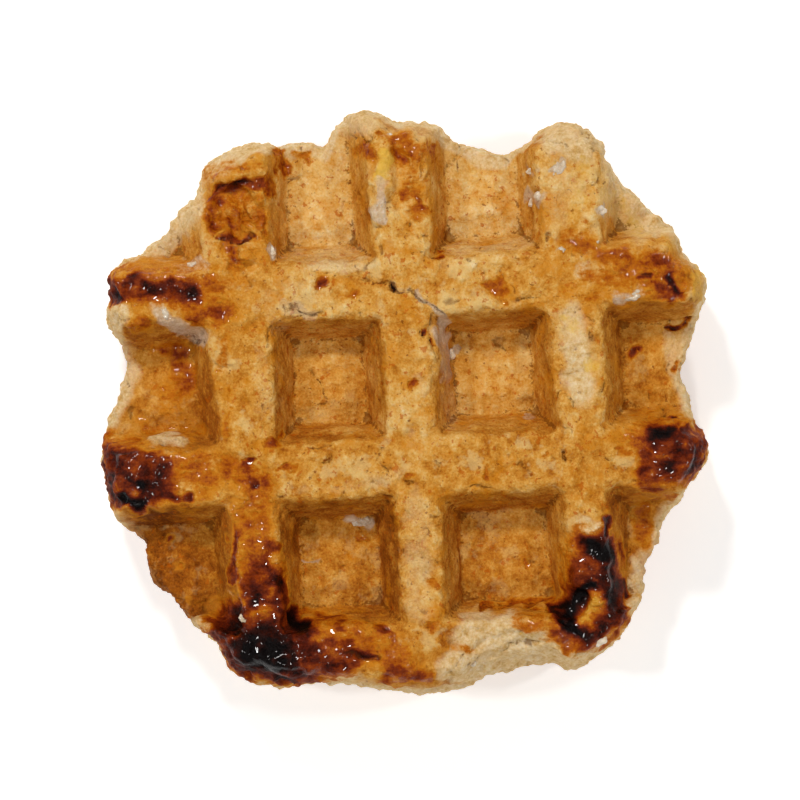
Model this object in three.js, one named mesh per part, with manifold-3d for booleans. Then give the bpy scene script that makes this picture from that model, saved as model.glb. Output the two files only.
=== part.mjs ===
// A Liege waffle: one thick, uneven round of baked brioche dough. Both faces carry the iron's grid of
// ribs and tapered pockets, a thin web of dough lies between each pocket and the one under it, and the
// dough has run out to a lumpy rim that bulges at the ends of the ribs.
// Millimetres, +Z up. The origin is on the table, under the middle of the waffle. The ribs run along
// X and Y, and the waffle rests on the flat crests of the ribs of its lower face.

import * as THREE from "three";
import { mergeVertices } from "three/addons/utils/BufferGeometryUtils.js";
import Module from "manifold-3d";

// ---- Driving dimensions --------------------------------------------------------------------------

const THICKNESS = 24; // from the crests of the lower ribs to the crests of the upper ones
const WEB = 7; // dough between a pocket's floor and the floor of the pocket under it
const WALL_RUN = 2.8; // how far a pocket's wall leans out on its way from the floor to the crest
const CREST_ROUND = 0.9; // half the width of the rounded shoulder between a crest and a wall
const SWELL = 0.35; // how far the upper crests and all the floors wander from flat
const SWELL_LENGTH = 17; // distance over which they wander
const RIM_STEPS = 132; // points round the rim
const RIM_SIGHT = 4; // the rim's inward direction is square to a chord this many points each way
const RIM_LEVELS = [-1, -0.88, -0.66, -0.35, 0, 0.35, 0.66, 0.88, 1]; // rings of the rim, in half heights
const RIM_OVERSHOOT = 0.4; // the rim's body stands this far past both faces, so that the cut is clean
const LOWER_SLOPE = 0.8; // the rim's lower half leans in this much of what its upper half does
const TABLE_HALF = 50; // the grid of ribs is laid out to this distance from the middle
const OPEN_STEP = 5; // distance between the lines of the mesh where there is no rib

const POCKET_DEPTH = (THICKNESS - WEB) / 2;
const MIDDLE = THICKNESS / 2;

// A rib's crest is centred on "at" and is "half" wide to each side, where it crosses the other axis.
// "lean" is how much its middle moves for each millimetre along it, and "taper" how much it widens.
const UPRIGHT_RIBS = [
  { at: -24.0, half: 4.4, lean: -0.03, taper: 0.036 },
  { at: 0.7, half: 3.75, lean: -0.013, taper: 0.017 },
  { at: 26.0, half: 3.75, lean: -0.01, taper: 0.027 },
];
const CROSS_RIBS = [
  { at: -37.0, half: 4.2, lean: 0.0, taper: 0.0 },
  { at: -9.6, half: 4.4, lean: 0.0, taper: 0.003 },
  { at: 17.3, half: 4.2, lean: 0.008, taper: 0.003 },
];

// The rim, anticlockwise from the right: x, y, and how far in from there the upper face begins.
const RIM = [
  [42.4, -0.5, 3], [41.2, 2.4, 3], [43.3, 7.8, 3], [44.3, 11.0, 3],
  // the upper cross rib's right end, and the web up to the right rib
  [45.8, 14.5, 3], [45.0, 18.0, 2.5], [42.2, 20.8, 3], [41.2, 24.2, 2.5], [38.0, 26.8, 2],
  [35.0, 30.2, 1.5], [31.8, 34.3, 2],
  // the right rib's upper end
  [31.0, 37.6, 3.5], [28.2, 40.3, 4.5], [23.6, 40.9, 4.5], [20.6, 38.6, 3], [17.0, 36.5, 1.5],
  // web, then the middle rib's upper end
  [12.6, 37.6, 1], [8.7, 38.8, 2], [6.8, 41.0, 3], [3.0, 42.0, 3], [0.2, 41.8, 3],
  [-2.6, 43.8, 4], [-6.6, 43.8, 4], [-8.8, 41.2, 3], [-10.4, 38.9, 1.5], [-14.8, 39.8, 1.5],
  // the left rib's upper end
  [-16.9, 39.0, 1.5], [-20.0, 39.9, 3], [-24.2, 39.2, 3.5], [-28.2, 36.8, 3.5], [-29.4, 33.2, 3],
  // web, then the upper cross rib's left end
  [-32.6, 30.6, 2], [-34.8, 27.2, 2], [-39.2, 23.7, 2.5], [-43.4, 21.9, 2.5], [-43.9, 19.4, 2],
  [-43.6, 17.4, 2], [-44.1, 15.2, 3], [-42.4, 11.2, 3],
  // web, then the middle cross rib's left end
  [-41.8, 6.4, 2], [-43.8, 1.2, 2], [-45.7, -3.4, 2.5], [-46.0, -8.0, 3], [-44.9, -13.6, 3],
  [-43.6, -16.6, 2.5],
  // web, torn thin at its edge
  [-39.9, -18.9, 1], [-39.9, -24.4, 1], [-37.0, -26.8, 1], [-33.8, -31.0, 2],
  // the left rib's lower end, run together with the lower cross rib
  [-30.2, -34.8, 3], [-27.6, -39.4, 4], [-21.4, -41.8, 4], [-16.0, -41.2, 3], [-10.4, -41.9, 3],
  [-5.8, -42.6, 3], [0.6, -43.8, 3.5], [6.6, -43.2, 5], [9.0, -41.9, 7],
  // the side of the lower cross rib, which the iron did not fill
  [15.6, -40.7, 7.5], [20.4, -40.2, 4.5], [23.6, -41.0, 3.5],
  // the right rib's lower end
  [28.4, -38.2, 3], [32.4, -33.8, 3], [34.1, -29.4, 2], [34.6, -26.0, 1],
  // web, then the middle cross rib's right end
  [37.0, -22.2, 1], [37.5, -19.6, 1], [42.0, -14.2, 2.5], [44.4, -11.2, 2.5], [44.8, -7.8, 2.5],
  [43.2, -5.2, 3],
];

// Hollows where a lump of sugar has melted away: the middle, the size to each side and the depth.
const HOLLOWS = [
  { x: -24.2, y: 29.4, wide: 4.3, long: 4.0, deep: 3.2 },
  { x: 25.2, y: -32.2, wide: 3.2, long: 2.8, deep: 2.4 },
];
const HOLLOW_SEGMENTS = [20, 12]; // round, and from top to bottom

// ---- The grid's lines ----------------------------------------------------------------------------

// How far down the wall, from 0 on the crest to 1 on the floor, at a distance from the crest's edge.
function sinkAt(pastEdge) {
  if (pastEdge <= -CREST_ROUND) return 0;
  if (pastEdge < CREST_ROUND) return (pastEdge + CREST_ROUND) ** 2 / (4 * CREST_ROUND * WALL_RUN);
  return Math.min(1, pastEdge / WALL_RUN);
}

// The lines of the mesh that run along one set of ribs, from one edge of the table to the other.
function gridLines(ribs) {
  const lines = [];
  for (const rib of ribs) {
    lines.push({ at: rib.at, lean: rib.lean, sink: 0 });
    for (const side of [-1, 1])
      for (const pastEdge of [-CREST_ROUND, 0, CREST_ROUND, WALL_RUN])
        lines.push({
          at: rib.at + side * (rib.half + pastEdge),
          lean: rib.lean + side * rib.taper,
          sink: sinkAt(pastEdge),
        });
  }
  lines.sort((a, b) => a.at - b.at);
  const spaced = [];
  const edges = [{ at: -TABLE_HALF, lean: 0, sink: 1 }, ...lines, { at: TABLE_HALF, lean: 0, sink: 1 }];
  edges.slice(1).forEach((next, i) => {
    const last = edges[i];
    const onFloor = last.sink === 1 && next.sink === 1;
    const parts = onFloor ? Math.max(1, Math.round((next.at - last.at) / OPEN_STEP)) : 1;
    for (let k = 0; k < parts; k++)
      spaced.push({
        at: last.at + ((next.at - last.at) * k) / parts,
        lean: last.lean + ((next.lean - last.lean) * k) / parts,
        sink: last.sink,
      });
  });
  return [...spaced, edges.at(-1)];
}

// A slow wander of the surface, different on every side of the waffle.
function swell(x, y, phase) {
  const turn = (2 * Math.PI) / SWELL_LENGTH;
  return SWELL * Math.sin(x * turn + phase + Math.cos(y * turn * 0.7)) * Math.cos(y * turn - phase);
}

// ---- Solids --------------------------------------------------------------------------------------

function geometryOf(points, triangles) {
  const geometry = new THREE.BufferGeometry();
  geometry.setAttribute("position", new THREE.Float32BufferAttribute(points.flat(), 3));
  geometry.setIndex(triangles.flat());
  return geometry;
}

// The endless slab of ribs and pockets that the iron presses, as tall as the waffle.
function griddedSlab() {
  const across = gridLines(UPRIGHT_RIBS);
  const along = gridLines(CROSS_RIBS);
  const columns = across.length;
  const rows = along.length;
  const points = [];
  const triangles = [];
  for (const face of [1, -1])
    for (const row of along)
      for (const column of across) {
        const x = column.at + column.lean * row.at;
        const y = row.at + row.lean * column.at;
        const sink = Math.min(column.sink, row.sink);
        const restsOnTable = face < 0 && sink < 1;
        const wander = restsOnTable ? 0 : swell(x, y, face);
        points.push([x, y, MIDDLE + face * (MIDDLE - POCKET_DEPTH * sink) + wander]);
      }
  const point = (face, row, column) => (face > 0 ? 0 : rows * columns) + row * columns + column;
  for (let row = 0; row + 1 < rows; row++)
    for (let column = 0; column + 1 < columns; column++) {
      // The cell is split so that the valley between two walls follows the split.
      const fall = Math.sign(across[column + 1].sink - across[column].sink);
      const rise = Math.sign(along[row + 1].sink - along[row].sink);
      const slantsUp = fall * rise >= 0;
      for (const face of [1, -1]) {
        const a = point(face, row, column);
        const b = point(face, row, column + 1);
        const c = point(face, row + 1, column + 1);
        const d = point(face, row + 1, column);
        const cell = slantsUp ? [[a, b, c], [a, c, d]] : [[a, b, d], [b, c, d]];
        triangles.push(...(face > 0 ? cell : cell.map((t) => [...t].reverse())));
      }
    }
  const border = [];
  for (let column = 0; column + 1 < columns; column++) border.push([0, column]);
  for (let row = 0; row + 1 < rows; row++) border.push([row, columns - 1]);
  for (let column = columns - 1; column > 0; column--) border.push([rows - 1, column]);
  for (let row = rows - 1; row > 0; row--) border.push([row, 0]);
  border.forEach(([row, column], i) => {
    const [nextRow, nextColumn] = border[(i + 1) % border.length];
    const [low, lowNext] = [point(-1, row, column), point(-1, nextRow, nextColumn)];
    const [high, highNext] = [point(1, row, column), point(1, nextRow, nextColumn)];
    triangles.push([low, lowNext, highNext], [low, highNext, high]);
  });
  return geometryOf(points, triangles);
}

// The body inside the rim: full width at half height, drawn in like a quarter ellipse to both faces.
function rimBody() {
  const outline = new THREE.CatmullRomCurve3(
    RIM.map(([x, y, slope]) => new THREE.Vector3(x, y, slope)),
    true,
    "centripetal",
  );
  const halfHeight = MIDDLE + RIM_OVERSHOOT;
  const points = [];
  const triangles = [];
  const places = outline.getPoints(RIM_STEPS).slice(0, RIM_STEPS);
  const placeAt = (k) => places[(k + RIM_STEPS) % RIM_STEPS];
  for (const level of RIM_LEVELS)
    for (let k = 0; k < RIM_STEPS; k++) {
      const place = placeAt(k);
      const way = placeAt(k + RIM_SIGHT).clone().sub(placeAt(k - RIM_SIGHT)).setZ(0).normalize();
      const slope = place.z * (level < 0 ? LOWER_SLOPE : 1);
      const inward = slope * (1 - Math.sqrt(1 - level * level));
      points.push([place.x - way.y * inward, place.y + way.x * inward, MIDDLE + level * halfHeight]);
    }
  const point = (ring, k) => ring * RIM_STEPS + (k % RIM_STEPS);
  for (let ring = 0; ring + 1 < RIM_LEVELS.length; ring++)
    for (let k = 0; k < RIM_STEPS; k++) {
      const [a, b] = [point(ring, k), point(ring, k + 1)];
      const [c, d] = [point(ring + 1, k + 1), point(ring + 1, k)];
      triangles.push([a, b, c], [a, c, d]);
    }
  const top = RIM_LEVELS.length - 1;
  points.push([0, 0, MIDDLE - halfHeight], [0, 0, MIDDLE + halfHeight]);
  const [lowest, highest] = [points.length - 2, points.length - 1];
  for (let k = 0; k < RIM_STEPS; k++) {
    triangles.push([lowest, point(0, k + 1), point(0, k)]);
    triangles.push([highest, point(top, k), point(top, k + 1)]);
  }
  return geometryOf(points, triangles);
}

// The lens that is taken out of a crest for a melted sugar lump.
function hollow({ x, y, wide, long, deep }) {
  return new THREE.SphereGeometry(1, ...HOLLOW_SEGMENTS)
    .rotateX(Math.PI / 2)
    .scale(wide, long, deep)
    .translate(x, y, THICKNESS);
}

// ---- Joining and cutting -------------------------------------------------------------------------

const wasm = await Module();
wasm.setup();

function solid(geometry) {
  const bare = geometry.clone();
  bare.deleteAttribute("normal");
  bare.deleteAttribute("uv");
  const merged = mergeVertices(bare);
  return new wasm.Manifold(
    new wasm.Mesh({
      numProp: 3,
      vertProperties: merged.attributes.position.array,
      triVerts: merged.index.array,
    }),
  );
}

function geometryFrom(manifold) {
  const mesh = manifold.getMesh();
  const geometry = new THREE.BufferGeometry();
  geometry.setAttribute("position", new THREE.BufferAttribute(mesh.vertProperties, 3));
  geometry.setIndex(new THREE.BufferAttribute(mesh.triVerts, 1));
  geometry.computeVertexNormals();
  return geometry;
}

// The waffle, moved so that the middle of its box lies over the origin.
function waffleGeometry() {
  const pressed = solid(griddedSlab()).intersect(solid(rimBody()));
  const pitted = HOLLOWS.reduce((body, one) => body.subtract(solid(hollow(one))), pressed);
  const geometry = geometryFrom(pitted);
  geometry.computeBoundingBox();
  const middle = geometry.boundingBox.getCenter(new THREE.Vector3());
  return geometry.translate(-middle.x, -middle.y, 0);
}

// ---- The part ------------------------------------------------------------------------------------

const bakedDough = new THREE.MeshStandardMaterial({ color: 0xd9a25a, roughness: 0.75, metalness: 0 });

const waffle = new THREE.Mesh(waffleGeometry(), bakedDough);
waffle.name = "waffle";

const part = new THREE.Group();
part.add(waffle);

export default part;
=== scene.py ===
# %% [markdown]
# # A Liege waffle
# A Liege waffle is a lump of rich yeast dough, kneaded with coarse pearl sugar and pressed in a deep iron.
# The sugar melts against the iron: it glazes the ribs, and where it pools it burns to black caramel. The
# CAD model gives the true shape of the dough, its ribs, pockets and rim. This script gives it a crust.

# %% Load the frame
import math

import bmesh
import bpy
import numpy as np
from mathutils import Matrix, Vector, bvhtree


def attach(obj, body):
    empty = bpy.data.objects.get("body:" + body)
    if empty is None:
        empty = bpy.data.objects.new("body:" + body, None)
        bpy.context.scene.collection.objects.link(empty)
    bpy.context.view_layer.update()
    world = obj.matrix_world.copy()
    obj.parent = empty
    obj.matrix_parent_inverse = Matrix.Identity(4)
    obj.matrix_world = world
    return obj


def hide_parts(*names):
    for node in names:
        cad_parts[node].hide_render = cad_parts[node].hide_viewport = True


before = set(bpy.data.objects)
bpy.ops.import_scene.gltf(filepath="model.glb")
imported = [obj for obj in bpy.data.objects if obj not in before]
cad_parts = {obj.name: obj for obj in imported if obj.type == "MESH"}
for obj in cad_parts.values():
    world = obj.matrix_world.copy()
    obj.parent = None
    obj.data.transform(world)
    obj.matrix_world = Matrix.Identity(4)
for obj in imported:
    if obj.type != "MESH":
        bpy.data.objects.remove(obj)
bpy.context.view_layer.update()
MM = 0.001

# %% [markdown]
# ## Words for wiring nodes
# Node trees are long to write one socket at a time, so this small class holds the few words that this
# waffle needs. Each word adds one node and gives back its output, ready to be used as the next one's input.
# The same words work in a geometry tree and in a material, because both share the math and noise nodes.

# %% Wiring
class Wiring:
    def __init__(self, tree):
        self.tree = tree

    def node(self, kind, settings=None, inputs=None):
        new = self.tree.nodes.new(kind)
        for name, value in (settings or {}).items():
            setattr(new, name, value)
        for name, value in (inputs or {}).items():
            usable = [s for s in new.inputs if s.enabled and s.name == name]
            socket = new.inputs[name] if isinstance(name, int) else usable[0]
            if isinstance(value, bpy.types.NodeSocket):
                self.tree.links.new(value, socket)
            else:
                socket.default_value = value
        return new

    def out(self, kind, settings=None, inputs=None):
        return next(s for s in self.node(kind, settings, inputs).outputs if s.enabled)

    def number(self, operation, *values, clamp=False):
        settings = {"operation": operation, "use_clamp": clamp}
        return self.out("ShaderNodeMath", settings, dict(enumerate(values)))

    def vector(self, operation, *values):
        return self.out("ShaderNodeVectorMath", {"operation": operation}, dict(enumerate(values)))

    def scaled(self, vector, amount):
        return self.out("ShaderNodeVectorMath", {"operation": "SCALE"}, {"Vector": vector, "Scale": amount})

    def step(self, value, low, high, to_low=0.0, to_high=1.0):
        """Goes smoothly from to_low to to_high as the value goes from low to high."""
        settings = {"interpolation_type": "SMOOTHSTEP"}
        ends = {"Value": value, "From Min": low, "From Max": high, "To Min": to_low, "To Max": to_high}
        return self.out("ShaderNodeMapRange", settings, ends)

    def noise(self, place, size, detail=2.0, roughness=0.5, seed=0.0):
        """Noise from 0 to 1, with lumps of about this size in metres."""
        inputs = {"Vector": place, "W": seed, "Scale": 1 / size, "Detail": detail, "Roughness": roughness}
        return self.out("ShaderNodeTexNoise", {"noise_dimensions": "4D"}, inputs)

    def rest(self, value):
        """What is left of one."""
        return self.number("SUBTRACT", 1.0, value)

    def times(self, first, *others):
        for other in others:
            first = self.number("MULTIPLY", first, other)
        return first

    def plus(self, first, *others):
        for other in others:
            first = self.number("ADD", first, other)
        return first


# %% [markdown]
# ## The dough as one even skin
# The CAD body is closed, but its triangles are long and uneven, and fine relief needs points that lie close
# together everywhere. A voxel remesh pours the same shape into small even squares, which subdivision can't
# do on such triangles. The copy is merged first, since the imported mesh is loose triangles.

# %% Remesh a copy of the CAD body
SKIN_STEP = 0.40 * MM


def merged_copy(node, name):
    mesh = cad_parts[node].data.copy()
    mesh.name = name
    mesh.materials.clear()
    work = bmesh.new()
    work.from_mesh(mesh)
    bmesh.ops.remove_doubles(work, verts=work.verts, dist=1e-6)
    work.to_mesh(mesh)
    work.free()
    copy = bpy.data.objects.new(name, mesh)
    bpy.context.scene.collection.objects.link(copy)
    return copy


def settle(piece):
    """Turns the piece with its modifiers into a plain mesh."""
    graph = bpy.context.evaluated_depsgraph_get()
    seen = piece.evaluated_get(graph)
    mesh = bpy.data.meshes.new_from_object(seen, preserve_all_data_layers=True, depsgraph=graph)
    piece.modifiers.clear()
    piece.data = mesh
    mesh.name = piece.name
    return piece


waffle = merged_copy("waffle", "waffle_crust")
skin = waffle.modifiers.new("skin", "REMESH")
skin.mode = "VOXEL"
skin.voxel_size = SKIN_STEP
settle(waffle)
print("skin:", len(waffle.data.vertices), "points")

# %% [markdown]
# ## Marks of the baking
# On the real waffle the burnt sugar, the pale dough and the melted pearls lie where chance put them, so no
# rule can place them. Each is a brush stroke here: a line from one point to another in millimetres, a radius
# and a strength. The strokes of one kind are laid over each other into one soft field on the skin's points,
# and the material later cuts a rough, natural edge out of that softness with noise. A few strokes paint
# shade and light, not baking, as noted where they stand.

# %% Places on the skin, in millimetres
def points_of(piece):
    flat = np.empty(len(piece.data.vertices) * 3, np.float32)
    piece.data.vertices.foreach_get("co", flat)
    return flat.reshape(-1, 3).astype(float) / MM


places = points_of(waffle)
THICKNESS = float(places[:, 2].max())
MIDDLE = 12.0  # the height of the web between the two faces
MARK_SHIFT = np.array([0.12, -0.18])  # the marks are measured from the iron's middle, not the waffle's
WAVES = 9


def wobble(at, length, seed):
    """A smooth wave in every direction, about as long as given, from -1 to 1 or so."""
    chance = np.random.default_rng(seed)
    total = np.zeros(len(at))
    for _ in range(WAVES):
        way = chance.normal(size=3)
        way *= 2 * math.pi / (length * chance.uniform(0.6, 1.5) * np.linalg.norm(way))
        total += np.sin(at @ way + chance.uniform(0, 2 * math.pi))
    return total / math.sqrt(WAVES)


WOBBLE_LENGTH, WOBBLE_REACH = 3.2, 0.45
bent = places[:, :2] - MARK_SHIFT
bent = bent + WOBBLE_REACH * np.stack([wobble(places, WOBBLE_LENGTH, seed) for seed in (1, 2)], axis=1)


def smooth(value, low, high):
    t = np.clip((value - low) / (high - low), 0, 1)
    return t * t * (3 - 2 * t)


def stroke_distance(at, x0, y0, x1, y1):
    start, run = np.array([x0, y0]), np.array([x1 - x0, y1 - y0])
    along = np.clip((at - start) @ run / max(run @ run, 1e-9), 0, 1)
    return np.linalg.norm(at - start - along[:, None] * run, axis=1)


UPPER = smooth(places[:, 2], 6.0, 11.5)  # 1 on the upper face, 0 on the lower one
LOWER = 1 - UPPER
print("points of the upper face:", int((UPPER > 0.5).sum()), "of", len(places))


def field(strokes, side, soft=0.7):
    """The strongest of all strokes at each point. A stroke fades from inside its edge to outside it."""
    total = np.zeros(len(places))
    for x0, y0, x1, y1, radius, strength in strokes:
        away = stroke_distance(bent, x0, y0, x1, y1) / radius
        total = np.maximum(total, strength * (1 - smooth(away, 1 - soft, 1 + soft)))
    return total * side


# %% Caramel: 0.3 is amber, 0.5 brown, 0.7 mahogany and 1 black
TOP_RIB_BURN = [
    (-42.5, 20.0, -28.5, 18.0, 4.6, 0.36), (-43.5, 18.9, -31.5, 18.1, 2.6, 0.62),
    (-43.4, 18.6, -42.6, 17.2, 1.3, 0.95), (-41.0, 20.0, -36.0, 18.8, 1.3, 0.78),
    (-35.0, 18.9, -31.0, 17.4, 0.9, 0.74), (-30.0, 18.0, -24.0, 16.0, 4.2, 0.22),
    (-31.5, 14.2, -26.5, 15.0, 2.0, 0.48), (-39.5, 14.0, -38.0, 13.6, 1.5, 0.42),
    (-20.0, 16.5, -18.5, 14.5, 1.5, 0.22), (-12.0, 18.2, -11.6, 18.2, 0.9, 0.62),
    (-8.0, 17.2, -7.0, 16.6, 1.0, 0.40), (14.2, 16.8, 15.4, 15.8, 1.6, 0.48),
    (5.2, 21.5, 6.2, 21.5, 0.6, 0.50), (1.5, 14.5, 2.5, 12.0, 1.0, 0.34),
]
# The strokes from (-27.9, 30.5) to (-20.4, 33.4) draw the dark arc on the crater's upper edge: partly
# caramel and partly painted shadow in the crater under that edge.
CRATER_BURN = [
    (-24.2, 29.0, -24.0, 28.0, 5.6, 0.38), (-27.9, 30.5, -26.4, 32.8, 1.1, 0.66),
    (-26.4, 32.8, -23.0, 33.8, 1.1, 0.72), (-23.0, 33.8, -20.4, 33.4, 0.9, 0.55),
    (-28.2, 30.5, -27.8, 27.0, 1.0, 0.50), (-27.2, 25.8, -21.6, 25.7, 0.38, 0.64),
    (-28.0, 35.4, -20.5, 36.4, 1.7, 0.28), (-22.6, 36.4, -22.0, 35.8, 0.8, 0.55),
    (-24.8, 24.4, -24.2, 21.8, 3.0, 0.34), (-19.2, 34.0, -18.8, 32.0, 1.0, 0.50),
    (-17.4, 38.6, -16.8, 35.2, 0.9, 0.50), (-14.6, 38.6, -13.0, 38.4, 0.6, 0.40),
    (-13.6, 38.2, -13.2, 36.6, 0.6, 0.45), (-21.0, 29.5, -20.6, 27.0, 1.4, 0.42),
    (-24.2, 29.8, -23.6, 28.8, 0.9, 0.50), (-25.8, 28.2, -24.8, 27.4, 0.8, 0.48),
    (-22.6, 28.0, -22.0, 27.0, 0.7, 0.48), (-25.4, 23.6, -24.2, 22.8, 1.0, 0.48),
]
CENTRE_TOP_BURN = [
    (-4.8, 38.4, -3.4, 37.4, 1.6, 0.42), (-0.2, 39.2, 0.6, 36.2, 0.9, 0.52),
    (1.6, 31.2, 4.2, 28.6, 0.8, 0.46), (0.6, 38.8, 3.4, 38.0, 1.5, 0.44),
    (-1.6, 40.2, -0.8, 39.4, 0.8, 0.46), (2.8, 36.0, 2.6, 28.6, 1.8, 0.36),
    (5.6, 38.2, 6.2, 36.0, 1.2, 0.42), (1.2, 31.4, 1.0, 30.6, 0.9, 0.48),
    (3.2, 30.2, 3.4, 29.4, 0.8, 0.52), (1.6, 26.6, 1.8, 25.4, 0.8, 0.34),
]
RIGHT_TOP_BURN = [
    (30.0, 18.6, 40.0, 17.4, 3.9, 0.40), (26.0, 23.6, 28.0, 21.6, 2.2, 0.42),
    (26.4, 15.0, 31.0, 15.6, 1.8, 0.34), (40.7, 16.9, 41.1, 14.8, 0.9, 0.76),
    (41.2, 14.4, 43.2, 13.8, 0.9, 0.70), (43.6, 14.6, 43.8, 17.0, 1.0, 0.55),
    (36.0, 17.0, 37.2, 17.5, 0.6, 0.80), (38.2, 19.8, 39.4, 19.2, 1.0, 0.55),
    (38.5, 15.5, 40.0, 13.8, 1.2, 0.55), (32.0, 20.4, 34.0, 20.8, 1.2, 0.46),
    (39.6, 9.5, 43.0, 10.4, 0.5, 0.72),
]

# %% Caramel on the middle and lower ribs
MIDDLE_LEFT_BURN = [
    (-44.6, -7.4, -31.0, -9.2, 4.0, 0.42), (-45.0, -7.0, -38.0, -9.4, 4.2, 0.74),
    (-45.4, -6.6, -44.4, -12.4, 1.7, 0.90), (-41.2, -9.4, -40.2, -10.2, 1.3, 0.98),
    (-43.0, -12.4, -40.4, -13.4, 1.4, 0.98), (-37.4, -12.4, -33.0, -12.8, 1.0, 0.74),
    (-26.6, -8.4, -22.4, -11.6, 2.4, 0.48), (-23.4, -11.8, -22.6, -11.2, 0.8, 0.64),
    (-24.2, -8.4, -23.4, -7.4, 0.7, 0.62), (-21.6, -11.4, -21.0, -10.0, 0.7, 0.56),
    (-19.2, -9.4, -16.4, -8.6, 0.7, 0.50), (-21.0, -5.2, -19.8, -4.8, 0.9, 0.52),
    (-27.0, -3.6, -26.6, 3.6, 0.7, 0.36), (-26.2, 11.4, -27.6, 6.0, 0.9, 0.30),
]
LOWER_LEFT_BURN = [
    (-23.6, -15.0, -23.4, -24.0, 3.4, 0.42), (-22.8, -21.6, -23.0, -26.0, 2.8, 0.56),
    (-22.6, -25.0, -23.2, -31.0, 3.6, 0.64), (-26.4, -18.0, -27.2, -25.0, 0.8, 0.56),
    (-26.4, -32.6, -17.6, -36.0, 4.8, 0.80), (-25.4, -35.2, -20.4, -37.4, 3.7, 1.0),
    (-27.6, -36.6, -25.4, -38.4, 2.0, 0.94), (-18.4, -31.4, -17.2, -32.4, 1.7, 0.95),
    (-24.2, -29.4, -23.6, -28.4, 1.2, 0.93), (-29.6, -33.4, -26.0, -32.4, 2.0, 0.80),
    (-17.0, -36.2, -14.2, -37.0, 4.2, 0.62), (-11.6, -36.4, -10.6, -37.6, 2.6, 0.60),
    (-20.0, -39.6, -16.0, -40.0, 1.8, 0.78), (-14.4, -31.8, -11.0, -32.4, 1.4, 0.50),
    (-20.4, -26.0, -19.8, -30.0, 1.2, 0.66),
]
BOTTOM_BURN = [
    (-9.0, -34.6, -2.2, -38.4, 2.9, 0.40), (-10.4, -36.8, -6.2, -37.6, 0.55, 0.76),
    (-4.6, -40.6, 1.4, -40.8, 1.4, 0.56), (-5.0, -33.0, -3.4, -36.0, 1.2, 0.50),
    (2.2, -33.6, 3.0, -33.0, 0.8, 0.46), (6.4, -36.8, 7.6, -37.2, 0.8, 0.40),
    (9.6, -31.0, 15.0, -30.6, 0.6, 0.44), (14.6, -30.4, 20.6, -30.8, 0.8, 0.50),
    (15.6, -33.2, 20.4, -34.6, 1.6, 0.40), (18.0, -36.4, 19.4, -36.8, 0.8, 0.34),
]
MIDDLE_RIGHT_BURN = [
    (35.8, -6.6, 43.0, -8.6, 4.0, 0.45), (37.6, -7.0, 42.4, -8.6, 3.2, 0.68),
    (38.0, -5.8, 39.6, -5.4, 1.2, 0.94), (39.6, -8.4, 40.4, -9.4, 1.2, 0.72),
    (41.6, -5.4, 43.4, -7.6, 0.9, 0.70), (36.6, -12.0, 42.4, -11.2, 2.9, 0.66),
    (35.0, -8.6, 35.6, -11.8, 1.0, 0.52), (43.2, -9.6, 43.8, -10.4, 1.4, 0.50),
    (34.4, -17.4, 34.6, -21.6, 1.9, 0.46), (31.2, -8.4, 32.0, -8.6, 0.9, 0.44),
    (36.8, -14.8, 38.6, -16.0, 1.0, 0.40),
]
LOWER_RIGHT_BURN = [
    (26.6, -24.0, 27.4, -33.0, 4.4, 0.65), (28.6, -23.0, 29.2, -33.0, 2.6, 0.66),
    (23.0, -31.6, 24.0, -36.0, 2.4, 0.70), (28.8, -18.6, 29.0, -23.0, 0.9, 0.76),
    (26.6, -22.4, 28.4, -23.4, 2.1, 0.98), (28.2, -26.4, 28.8, -28.0, 1.5, 0.76),
    (26.2, -29.0, 22.4, -32.2, 1.7, 1.0), (21.8, -32.2, 20.6, -32.0, 1.0, 0.90),
    (23.4, -34.6, 25.4, -36.0, 1.7, 0.97), (29.8, -28.6, 30.0, -33.0, 1.9, 0.82),
    (24.0, -24.6, 22.8, -29.6, 1.3, 0.64), (20.6, -35.4, 22.4, -37.0, 1.5, 0.56),
    (26.0, -36.6, 29.0, -34.6, 1.4, 0.72),
]

# %% Spots, the floor of a pocket, gaps in the caramel, and the lower face
SPOTS = [
    (3.8, 10.2, 0.4, 0.75), (4.2, 8.8, 0.35, 0.70), (1.0, 2.7, 0.9, 0.62), (34.4, 5.9, 1.0, 0.60),
    (40.8, 3.4, 0.8, 0.56), (22.2, 3.0, 0.7, 0.34), (0.3, -11.0, 0.8, 0.50), (11.5, -11.1, 0.9, 0.52),
    (6.6, -7.6, 1.1, 0.38), (20.0, -8.6, 0.8, 0.46), (16.9, -24.6, 0.8, 0.48), (3.0, -27.4, 0.9, 0.46),
    (12.6, -26.4, 0.6, 0.34), (-9.0, -23.0, 0.8, 0.34), (-7.4, -20.0, 1.4, 0.42),
    (-36.0, -19.0, 0.8, 0.50), (-35.4, -23.0, 0.7, 0.42), (-34.0, -28.0, 0.9, 0.34),
    (-11.6, -30.0, 1.2, 0.34), (9.6, 5.0, 0.7, 0.30), (17.0, 2.0, 1.0, 0.32), (12.0, 30.4, 1.0, 0.28),
    (15.0, 28.6, 0.8, 0.26), (-12.6, 27.0, 0.9, 0.26),
]
POCKET_BURN = [
    (-33.4, 8.6, -33.0, 4.4, 2.2, 0.50), (-37.0, 9.6, -33.0, 9.6, 1.2, 0.42),
    (-36.0, 3.0, -34.0, -1.0, 2.6, 0.30), (-40.0, -1.6, -31.0, -2.6, 1.4, 0.34),
]
UPPER_BURN = (TOP_RIB_BURN + CRATER_BURN + CENTRE_TOP_BURN + RIGHT_TOP_BURN + MIDDLE_LEFT_BURN
              + LOWER_LEFT_BURN + BOTTOM_BURN + MIDDLE_RIGHT_BURN + LOWER_RIGHT_BURN + POCKET_BURN
              + [(x, y, x + 0.1, y, radius, strength) for x, y, radius, strength in SPOTS])
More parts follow.
